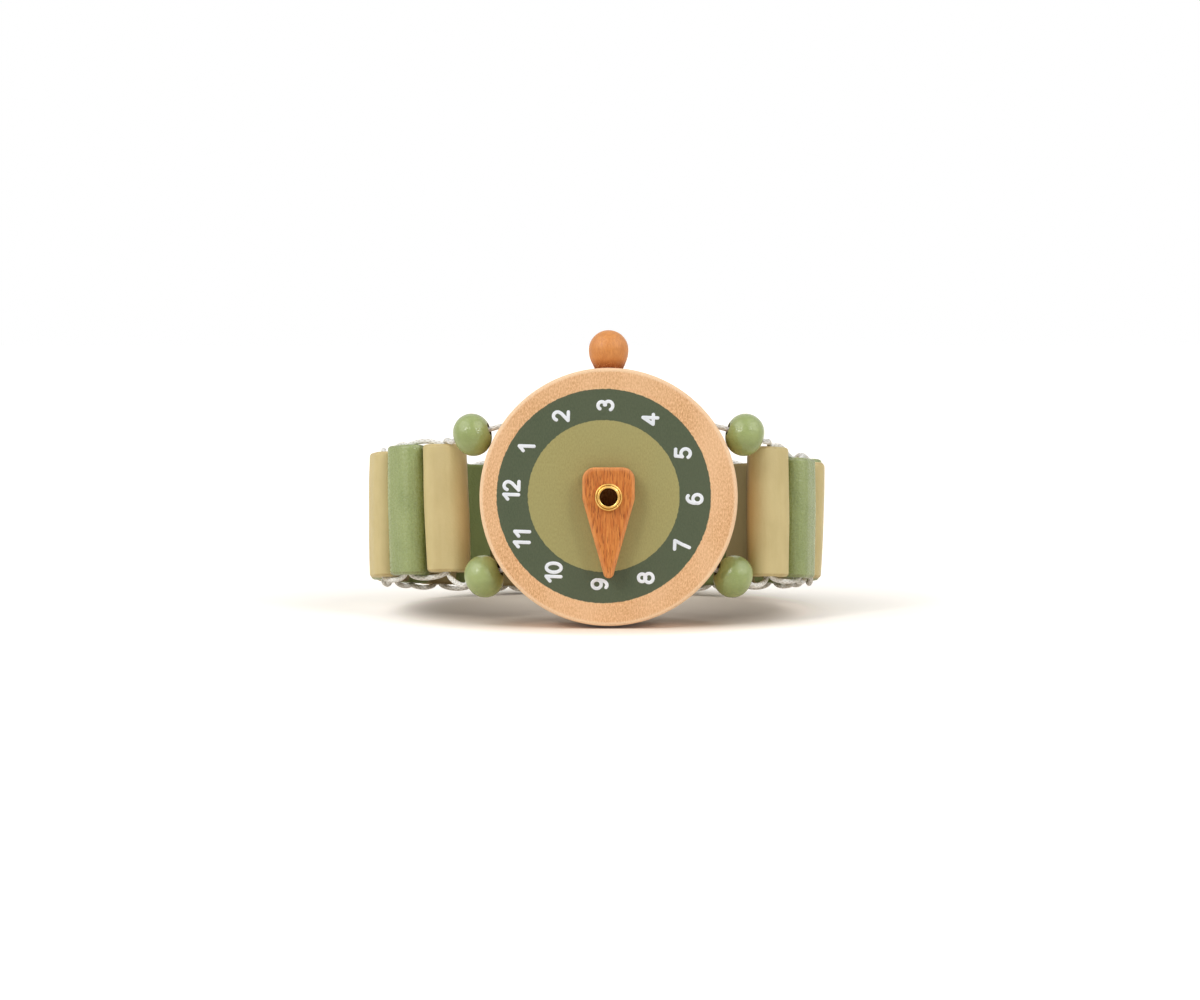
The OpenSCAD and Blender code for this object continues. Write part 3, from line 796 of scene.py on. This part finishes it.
# %% Finish the crown
crown_wood, tree, shader, grain, edge = new_finish("Stained crown wood")
wood = used(tree, wood_streaks, {"Place": grain, "Across": 2600.0, "Along": 900.0})
stain = blended(tree, wood["Streak"], tint(207, 131, 64), tint(221, 148, 78))
stain = washed(tree, wood["Pore"], 0.25, stain, tint(176, 104, 46))
closed = ramped(tree, wood["Pore"], 0.0, 1.0, 1.0, 0.35)
dark_foot = sums(tree, "MULTIPLY", edge, closed, clamp=True)
stain = blended(tree, dark_foot, stain, tint(150, 80, 32))
chips = sums(tree, "MULTIPLY", edge, wood["Pore"])
stain = washed(tree, chips, 0.6, stain, tint(232, 178, 122))
rough = ramped(tree, wood["Streak"], 0, 1, 0.4, 0.52)
relief = sums(tree, "SUBTRACT", wood["Streak"], wood["Pore"])
coat(tree, shader, stain, rough, relief, 0.35, 0.00005)
settle(crown_piece, "case", crown_wood, "crown_wood", "crown")
print("Finish:", crown_wood.name)

# %% [markdown]
# ## The four beads
#
# Between the case and the strap the elastic runs through four round wooden beads, painted green.
# A bead is a circle carried round the bore a little way from its axis, so it is slightly flattened,
# with the mouths of the bore rounded over. The paint has a fine orange-peel skin, and each bead gets
# its own slow unevenness.

# %% Turn the beads
BEAD_D, BEAD_L, BEAD_BORE_R = 6.7, 5.8, 0.95
bulge = BEAD_L / 2
offset = BEAD_D / 2 - bulge
mouth = math.degrees(math.acos((BEAD_BORE_R + 0.12 - offset) / bulge))
mouth_h = bulge * math.sin(math.radians(mouth)) - 0.07
bead_profile = np.concatenate([
    quarter(offset, 0, bulge, -mouth, mouth, 46),
    [[BEAD_BORE_R + 0.03, mouth_h]],
    [[BEAD_BORE_R, h] for h in (2.45, 0.8, -0.8, -2.45)],
    [[BEAD_BORE_R + 0.03, -mouth_h]],
])
bead_own = turned(bead_profile, full_turn(72))
in_bore = np.hypot(bead_own[..., 0], bead_own[..., 1]) < BEAD_BORE_R + 0.05
print("Bead points:", bead_own.shape[0] * bead_own.shape[1])

# %% Paint and place the beads
BEADS = [
    "lug_bead_upper_right", "lug_bead_upper_left", "lug_bead_lower_right", "lug_bead_lower_left",
]
BEAD_UNEVEN, GRAIN_STEP = 0.006, 30.0


def square_to(axis):
    """Two directions square to an axis and to each other."""
    first = np.cross(axis, [0.0, 0.0, 1.0])
    first /= np.linalg.norm(first)
    return first, np.cross(axis, first)


bead_paint, tree, shader, grain, edge = new_finish("Green bead paint")
skin = used(tree, paint_skin, {"Place": grain, "Size": 3000.0})
green = blended(tree, skin["Mottle"], tint(142, 156, 94), tint(158, 172, 109))
# Pale specks over the paint are painted glints of its dimpled skin.
green = washed(tree, skin["Speck"], 0.3, green, tint(180, 187, 140))
# The bore, which the edge attribute marks on a bead, is coloured dark olive brown: painted shade in
# the hole.
green = blended(tree, edge, green, tint(70, 62, 38))
rough = ramped(tree, skin["Peel"], 0.3, 0.7, 0.16, 0.26)
coat(tree, shader, green, rough, skin["Peel"], 0.7, 0.0001)

for number, bead in enumerate(BEADS):
    axis = hinge_axis(bead)
    bead_axes = np.stack([*square_to(axis), axis])
    uneven = BEAD_UNEVEN * wobble(bead_own, 40 + number, 5.0)
    swell = 1 + np.where(in_bore, 0, uneven)[..., None]
    # The edge attribute carries the bore, where the bead paint has painted shade.
    piece = skin_grids(
        f"{bead}_painted", [hinge_place(bead) + (bead_own * swell) @ bead_axes],
        [bead_own + GRAIN_STEP * number], edges=[in_bore.astype(float)],
    )
    settle(piece, bead, bead_paint, "bead_paint", bead)
print("Beads:", len(BEADS))

# %% [markdown]
# ## The strap's slats
#
# Twenty-one slats, beige and green by turns, make the strap. Each is a strip of wood with round
# sides that swell a little towards the middle, softened at the ends and drilled along its length for
# two strands of elastic. An outline of two half circles is carried along the slat, drawn in round
# the ends, led over the flat end to the round mouth of the bore, and back through the bore, so one
# closed grid makes the whole slat. The slats were sawn to slightly different lengths; their lower
# ends are in line. Every slat gets its own unevenness and its own stretch of grain.

# %% Shape the slats
TILE_L, TILE_W, TILE_T, TILE_END_R, TILE_BULGE = 20.5, 7.25, 5.0, 0.6, 0.15
TILE_BORE_R, TILE_MOUTH_R, TILE_MOUTH_DEPTH = 1.15, 1.45, 0.5
LENGTH_SHARES = [
    1, 0.93, 0.91, 0.97, 1, 0.99, 1, 1.01, 1, 0.99, 1,
    1, 0.99, 1.01, 1, 0.99, 1, 1, 0.985, 1.01, 0.99,
]
MOUTH_STEPS = (0.35, 0.7, 1.0)
SIDE_ROWS, CAP_ROWS = 33, 8
side_r, side_off = TILE_T / 2, TILE_W / 2 - TILE_T / 2
half_turn = np.radians(np.linspace(-90, 90, 29))
around = np.concatenate([half_turn, half_turn + math.pi])
shift = np.repeat([side_off, -side_off], len(half_turn))


def end_at(i, end):
    """Height of a slat's upper or lower end, from its middle line."""
    return TILE_L * LENGTH_SHARES[i - 1] - TILE_L / 2 if end > 0 else -TILE_L / 2


def slat_rows(low, high):
    """Rows of a slat from its foot to its top and back through the bore: radius of the round sides,
    height, share of the round mouth, and that mouth's radius. The sides follow a large arc."""
    half, middle = (high - low) / 2, (high + low) / 2
    bow_r = (half ** 2 + TILE_BULGE ** 2) / (2 * TILE_BULGE)
    straight = half - TILE_END_R
    up = np.linspace(-straight, straight, SIDE_ROWS)
    sides = side_r - bow_r + np.sqrt(bow_r ** 2 - up ** 2)
    cap = quarter(sides[-1] - TILE_END_R, straight, TILE_END_R, 0, 90, CAP_ROWS + 1)[1:]
    upper = np.concatenate([
        np.column_stack([cap, np.zeros((CAP_ROWS, 2))]),
        [[cap[-1, 0], half, s, TILE_MOUTH_R] for s in MOUTH_STEPS],
        [[0, half - 0.06, 1, TILE_MOUTH_R - 0.07],
         [0, half - TILE_MOUTH_DEPTH + 0.05, 1, TILE_BORE_R + 0.04],
         [0, half - TILE_MOUTH_DEPTH - 0.1, 1, TILE_BORE_R], [0, 4.0, 1, TILE_BORE_R]],
    ])
    lower = upper[::-1] * np.array([1, -1, 1, 1])
    sides = np.column_stack([sides, up, np.zeros((SIDE_ROWS, 2))])
    rows = np.concatenate([sides, upper, lower])
    rows[:, 1] += middle
    return (rows[:, k][:, None] for k in range(4))


def slat_shape(i):
    """A slat in its own frame, how much of each point is outside, and how close it is to an end."""
    low, high = end_at(i, -1), end_at(i, 1)
    radius, height, inner, mouth_r = slat_rows(low, high)
    x = (1 - inner) * (shift + radius * np.cos(around)) + inner * mouth_r * np.cos(around)
    y = ((1 - inner) * radius + inner * mouth_r) * np.sin(around)
    own = np.stack([x, y, height + 0 * around], -1)
    to_end = np.minimum(height - low, high - height)
    end_edge = np.clip(1 - np.abs(to_end - 0.3) / 0.55, 0, 1) * (inner < 0.1) + 0 * around
    return own, 1 - inner + 0 * around, end_edge


print("Slat points:", len(around) * slat_shape(REAR)[0].shape[0])

# %% [markdown]
# The slats are painted all round. The green paint is glossy and dimpled, and the beige is flatter.
# The paint is thin along the ends, where hands and floors rub it off. The inside of the loop is
# darker than a few lamps make it, so shade is painted into the colour on the side to the wrist, which
# is also made rougher. It follows the attribute inner, which is 1 where a point faces the wrist.

# %% Paint and place the slats
def slat_finish(name, low, high, pale, bare, wrist_shade, rough, peel_depth, peel_size, shine):
    """Paint on a slat: mottled colour, an orange-peel skin, thin paint along the ends, and painted
    shade with a rougher coat on the side to the wrist."""
    finish, tree, shader, grain, edge = new_finish(name)
    skin = used(tree, paint_skin, {"Place": grain, "Size": peel_size})
    wood = used(tree, wood_streaks, {"Place": grain, "Across": 1300.0, "Along": 110.0})
    wear = used(tree, handled_edge, {"Place": grain, "Edge": edge, "Reach": 0.22})
    paint = blended(tree, skin["Mottle"], low, high)
    paint = washed(tree, wood["Streak"], 0.22, paint, pale)
    paint = washed(tree, wear["Wear"], 0.45, paint, bare)
    # Painted shade: the side to the wrist, where inner is 1, is darkened towards the shade colour.
    inner = add(tree, "Attribute", attribute_name="inner").outputs["Fac"]
    paint = washed(tree, inner, 0.8, paint, wrist_shade)
    gloss = ramped(tree, skin["Peel"], 0.3, 0.7, rough, rough + 0.14)
    height = sums(tree, "ADD", skin["Peel"], sums(tree, "MULTIPLY", wood["Streak"], 0.25))
    coat(tree, shader, paint, sums(tree, "MAXIMUM", gloss, inner), height, 0.7, peel_depth, shine)
    return finish


# The fifth colour of each paint is the painted shade for the side to the wrist.
tile_beige = slat_finish(
    "Beige slat paint", tint(201, 183, 129), tint(208, 190, 136), tint(216, 200, 150),
    tint(176, 140, 92), tint(82, 66, 34), 0.46, 0.00003, 2600.0, 0.4,
)
tile_green = slat_finish(
    "Green slat paint", tint(133, 147, 88), tint(147, 160, 100), tint(166, 176, 124),
    tint(112, 106, 60), tint(86, 94, 46), 0.22, 0.00011, 2700.0, 0.62,
)
SLAT_UNEVEN, SLAT_GRAIN = 0.05, np.array([17.0, 5.0, 31.0])
outwards = np.stack([np.cos(around), np.sin(around), 0 * around], -1)
# How much each point faces the wrist, which the slat paint turns into painted shade.
wrist_shade_mask = np.clip(np.sin(around) * 1.6, 0, 1)
for i in range(1, TILES + 1):
    own, outside, end_edge = slat_shape(i)
    uneven = SLAT_UNEVEN * wobble(own, 100 + i, 9.0) * outside
    piece = skin_grids(
        f"slat_{i:02d}", [on_tile(i, own + uneven[..., None] * outwards)], [own + SLAT_GRAIN * i],
        edges=[end_edge], wrist_shades=[wrist_shade_mask + 0 * outside],
    )
    finish, slot = (tile_beige, "tile_beige") if i % 2 else (tile_green, "tile_green")
    settle(piece, tile_body(i), finish, slot, f"strap_tile_{i:02d}")
print("Slats:", TILES, "faces each:", len(piece.data.polygons))

# %% [markdown]
# ## The elastic
#
# One thin white cord holds the watch together. It runs through the case, out through a bead, down
# one slat and up the next, so short loops show at the slats' tops and bottoms. It is held all along
# its way and never hangs free, so each stretch rides on the slat that carries it. A round outline is
# carried along each path: a flat arch over the gap for a loop, and for the lugs a few points whose
# corners are cut again and again until they run smooth.

# %% Lay the elastic
CORD_R, LANE = 0.40, 0.46
LOOP_HANG = {1: 0.45, -1: 0.65}  # over the tops, under the bottoms
LOOP_DIP, LOOP_LEAD, LUG_RISE = 0.9, 0.4, 0.6
JOIN = {
    1: TILE_L * min(LENGTH_SHARES) - TILE_L / 2 - LOOP_DIP - LOOP_LEAD,
    -1: LOOP_DIP + LOOP_LEAD - TILE_L / 2,
}


def next_slat(i):
    """The slat that follows towards the rear."""
    return i + 1 if i < REAR else i - 1


def strand(i, outer, z):
    """Points in a slat's bore, on its outer or inner lane, at heights z."""
    z = np.atleast_1d(np.asarray(z, float))
    return on_tile(i, np.stack([0 * z, 0 * z + (-LANE if outer else LANE), z], -1))


def fall(u):
    """1 over the longer slat's end, then down to 0 over the shorter one's, along half a cosine."""
    return (1 + np.cos(math.pi * np.clip((u - 0.42) / 0.48, 0, 1))) / 2


def strand_path(i, outer):
    """One lane of a slat with its loop to the next slat towards the rear. The loop's way across
    follows a cosine and its height a sine to the power 0.6, so it leaves and enters the bores
    straight and lies flat over the ends. It keeps to the longer slat's end before it falls."""
    after = next_slat(i)
    end = -1 if (min(i, after) % 2 == 1) == outer else 1
    if i == REAR:
        return strand(i, outer, np.linspace(JOIN[-1], JOIN[1], 6))
    a = np.radians(np.linspace(0, 180, 33))
    u = (1 - np.cos(a)) / 2
    from_end, to_end = end_at(i, end), end_at(after, end)
    if from_end > to_end:
        level = to_end + (from_end - to_end) * fall(u)
    else:
        level = from_end + (to_end - from_end) * fall(1 - u)
    bow = (LOOP_HANG[end] + LOOP_DIP) * np.abs(np.sin(a)) ** 0.6 - LOOP_DIP
    here, there = strand(i, outer, 0)[0], strand(after, outer, 0)[0]
    loop = here + (there - here) * u[:, None] + (level + end * bow)[:, None] * strap_up
    lead = np.linspace(JOIN[-end], from_end - end * (LOOP_DIP + 0.2), 6)
    return np.concatenate([strand(i, outer, lead), loop, strand(after, outer, JOIN[end])])


print("A loop has", len(strand_path(1, True)), "points")


# %% Lead the elastic through the beads
def cut_corners(path, passes):
    """Each pass puts two points on every side, a quarter from its ends. The path's ends stay."""
    for _ in range(passes):
        sides = path[:-1, None] + np.diff(path, axis=0)[:, None] * np.array([0.25, 0.75])[:, None]
        path = np.concatenate([path[:1], sides.reshape(-1, 3), path[-1:]])
    return path


def lug_path(side, rise):
    """From a cross bore out through a bead, over the first slat and down into its bore."""
    bead = f"lug_bead_{'upper' if rise > 0 else 'lower'}_{'right' if side > 0 else 'left'}"
    i = 1 if side > 0 else TILES
    outer = (side > 0) == (rise > 0)
    middle, way = hinge_place(bead), hinge_axis(bead)
    exit_x = side * math.sqrt(CASE_R ** 2 - BORE_RISE ** 2)
    bore = on_watch([[x, BORE_DEPTH, rise * BORE_RISE] for x in (exit_x * 0.85, exit_x)])
    leave = middle + way * (BEAD_L / 2 + 2 * CORD_R)
    over = strand(i, outer, end_at(i, rise) + rise * LUG_RISE)[0]
    arch = (leave + over) / 2 + rise * LUG_RISE / 2 * watch_axes[2]
    down = strand(i, outer, [end_at(i, rise) - rise * LOOP_DIP, JOIN[rise]])
    return np.concatenate([bore, [middle + way * BEAD_L / 2, leave, arch, over], down])


# %% Skin the elastic
cord_turn = full_turn(16)


def cord_skin(path, side_way):
    """A round outline carried along a path. The frame is built from the path's direction and one
    sideways direction that the path never runs along. The caps are points, so the ends close."""
    along = np.gradient(path, axis=0)
    along /= np.linalg.norm(along, axis=1, keepdims=True)
    beside = np.cross(along, side_way)
    beside /= np.linalg.norm(beside, axis=1, keepdims=True)
    upright = np.cross(beside, along)
    run = np.concatenate([[0], np.cumsum(np.linalg.norm(np.diff(path, axis=0), axis=1))])
    radius = np.concatenate([[0], np.full(len(path), CORD_R), [0]])[:, None]
    path, beside, upright, run = (
        np.concatenate([rows[:1], rows, rows[-1:]]) for rows in (path, beside, upright, run)
    )
    out, up = radius * np.cos(cord_turn), radius * np.sin(cord_turn)
    grid = path[:, None] + out[..., None] * beside[:, None] + up[..., None] * upright[:, None]
    return grid, np.stack([out, up, run[:, None] + 0 * cord_turn], -1)


# %% [markdown]
# The cord is rubber under a braided cover. Two sets of threads wind round it in opposite ways, and
# a wave of each, running along the cord and round it, gives the braid's relief. The grain attribute
# holds the way round and the way along, so the braid follows every bend.

# %% Finish the elastic
BRAID_STEP, BRAID_THREADS = 1.1, 4.0
elastic_braid, tree, shader, grain, edge = new_finish("White braided elastic")
parts = add(tree, "SeparateXYZ", {0: grain}).outputs
round_it = sums(tree, "MULTIPLY", sums(tree, "ARCTAN2", parts[1], parts[0]), BRAID_THREADS)
along_it = sums(tree, "MULTIPLY", parts[2], 2 * math.pi / (BRAID_STEP * MM))
one_way = sums(tree, "SINE", sums(tree, "ADD", along_it, round_it))
other_way = sums(tree, "SINE", sums(tree, "SUBTRACT", along_it, round_it))
braid = sums(tree, "MAXIMUM", one_way, other_way)
skin = used(tree, paint_skin, {"Place": grain, "Size": 3000.0})
# The colour follows the braid's relief: the threads are white, and the grooves between them get
# painted shade.
thread = blended(tree, ramped(tree, braid, -0.4, 0.9), tint(214, 211, 203), tint(243, 242, 238))
thread = washed(tree, skin["Mottle"], 0.25, thread, tint(232, 228, 216))
rough = ramped(tree, braid, -0.4, 0.9, 0.9, 0.72)
coat(tree, shader, thread, rough, braid, 0.5, 0.00006, 0.2)
print("Finish:", elastic_braid.name)


# %% Place the elastic
def elastic_piece(name, body, node, stretches):
    """One piece of elastic from its skinned stretches."""
    grids, lays = zip(*stretches)
    piece = skin_grids(name, grids, lays, ring=False, crease=60)
    settle(piece, body, elastic_braid, "elastic", node)


def loop_skin(i, outer):
    """A lane and its loop, whose sideways direction is square to the gap and to the slats."""
    gap = strand(next_slat(i), outer, 0)[0] - strand(i, outer, 0)[0]
    return cord_skin(strand_path(i, outer), np.cross(gap, strap_up))


def lug_skin(rise):
    """The elastic through one cross bore, from the last slat to the first."""
    path = cut_corners(np.concatenate([lug_path(-1, rise)[::-1], lug_path(1, rise)]), 4)
    return cord_skin(evenly(path, 0.25), np.array([0.12, 0.97, 0.2]))


for i in range(1, TILES + 1):
    lanes = [loop_skin(i, outer) for outer in (True, False)]
    elastic_piece(f"elastic_loops_{i:02d}", tile_body(i), f"elastic_{i:02d}", lanes)
elastic_piece("elastic_lugs", "case", "elastic_case", [lug_skin(rise) for rise in (1, -1)])
print("Elastic stretches:", TILES + 1)

# %% [markdown]
# ## Floor, light and camera
#
# The watch was photographed on a white sheet under two wide soft lights, the stronger one on the
# left: every bead shows both as pale spots. A small, weaker lamp on each side gives those spots.
# The floor is a pale plane that keeps the shadow. To the camera alone it also glows a little, so
# that it comes out white without more light on the watch. In an oval inside the strap's loop a
# shadow is painted on it: there it hardly glows and its colour is darker, because less of the room's
# light gets there than a few lamps can show. The white surroundings fill in the rest.

# %% Lay the floor
FLOOR_HALF = 3.0
SHADE_WIDE, SHADE_DEEP, SHADE_BACK = 0.034, 0.040, 0.022
GLOW_OUT, GLOW_IN = 0.38, 0.03


def seen_directly(tree):
    """1 for what the camera sees, also mirrored or through glass, and 0 for light on a piece."""
    rays = add(tree, "LightPath").outputs
    mirrored = sums(tree, "MAXIMUM", rays["Is Glossy Ray"], rays["Is Transmission Ray"])
    return sums(tree, "MAXIMUM", rays["Is Camera Ray"], mirrored)


floor_mesh = bpy.data.meshes.new("white_sheet")
corners = FLOOR_HALF * np.array([[-1.0, -1, 0], [1, -1, 0], [1, 1, 0], [-1, 1, 0]])
floor_mesh.from_pydata(corners, [], [(0, 1, 2, 3)])
floor = bpy.data.objects.new("white_sheet", floor_mesh)
bpy.context.scene.collection.objects.link(floor)
sheet = bpy.data.materials.new("White sheet")
sheet.use_nodes = True
tree, shader = sheet.node_tree, sheet.node_tree.nodes["Principled BSDF"]
lay = add(tree, "SeparateXYZ", {0: add(tree, "TexCoord").outputs["Object"]}).outputs
aside = sums(tree, "DIVIDE", lay[0], SHADE_WIDE)
behind = sums(tree, "DIVIDE", sums(tree, "SUBTRACT", lay[1], SHADE_BACK), SHADE_DEEP)
# The painted shadow: 1 in the oval inside the loop, fading to 0 outside it, where it darkens the
# colour and stops the glow.
loop_shadow = ramped(tree, off_centre(tree, aside, behind), 1.3, 0.7)
pale = blended(tree, loop_shadow, tint(250, 243, 234), tint(232, 219, 204))
tree.links.new(pale, shader.inputs["Base Color"])
shader.inputs["Roughness"].default_value = 0.9
shader.inputs["Specular IOR Level"].default_value = 0.0
shader.inputs["Emission Color"].default_value = (1, 1, 1, 1)
glow = ramped(tree, loop_shadow, 0.0, 1.0, GLOW_OUT, GLOW_IN)
glow = sums(tree, "MULTIPLY", seen_directly(tree), glow)
tree.links.new(glow, shader.inputs["Emission Strength"])
floor_mesh.materials.append(sheet)
print("Floor:", 2 * FLOOR_HALF, "m wide")

# %% Set the light
FILL = 0.08
world = bpy.data.worlds.new("White surroundings")
bpy.context.scene.world = world
world.use_nodes = True
tree = world.node_tree
background = tree.nodes["Background"]
background.inputs["Color"].default_value = (1, 1, 1, 1)
white = sums(tree, "MULTIPLY", seen_directly(tree), 1 - FILL)
tree.links.new(sums(tree, "ADD", FILL, white), background.inputs["Strength"])


def soft_sun(name, beside, over, strength, spread):
    """Soft light from far away in front: degrees to the right and upwards, its strength, and its
    width in degrees."""
    data = bpy.data.lights.new(name, "SUN")
    data.energy, data.angle = strength, math.radians(spread)
    light = bpy.data.objects.new(name, data)
    bpy.context.scene.collection.objects.link(light)
    light.rotation_euler = (math.pi / 2 - math.radians(over), 0, math.radians(beside))


soft_sun("left_light", -62, 42, 1.85, 60)
soft_sun("right_light", 66, 42, 1.42, 60)
soft_sun("left_spark", -40, 34, 0.42, 9)
soft_sun("right_spark", 44, 34, 0.36, 9)

# %% [markdown]
# The camera stands half a metre away, straight before the dial and about five centimetres over the
# floor, so it looks down by three and a half degrees, almost square onto the leaning dial.
# A long lens keeps the strap behind the case nearly as large as the case. The aim is set so that the
# dial's middle falls where the photograph has it.

# %% Place the camera
WIDE, HIGH, FOCAL = 1200, 1000, 3230.0  # pixels
DIAL_AT = (608.6, 497.0)
DISTANCE, SENSOR = 0.5, 36.0
over = math.radians(3.5)
camera_place = dial_middle * MM + DISTANCE * np.array([0, -math.cos(over), math.sin(over)])
turn = math.atan((DIAL_AT[0] - WIDE / 2) / FOCAL)
tip = math.atan((DIAL_AT[1] - HIGH / 2) / FOCAL)
lens = bpy.data.cameras.new("photo_camera")
lens.sensor_fit, lens.sensor_width = "HORIZONTAL", SENSOR
lens.lens = FOCAL / WIDE * SENSOR
lens.clip_start, lens.clip_end = 0.01, 20.0
camera = bpy.data.objects.new("photo_camera", lens)
bpy.context.scene.collection.objects.link(camera)
camera.location = camera_place
camera.rotation_euler = (math.pi / 2 - over + tip, 0, turn)
bpy.context.scene.camera = camera
bpy.context.scene.view_settings.view_transform = "Standard"
print("Camera at", np.round(camera_place, 4).tolist(), "lens", round(lens.lens, 1), "mm")
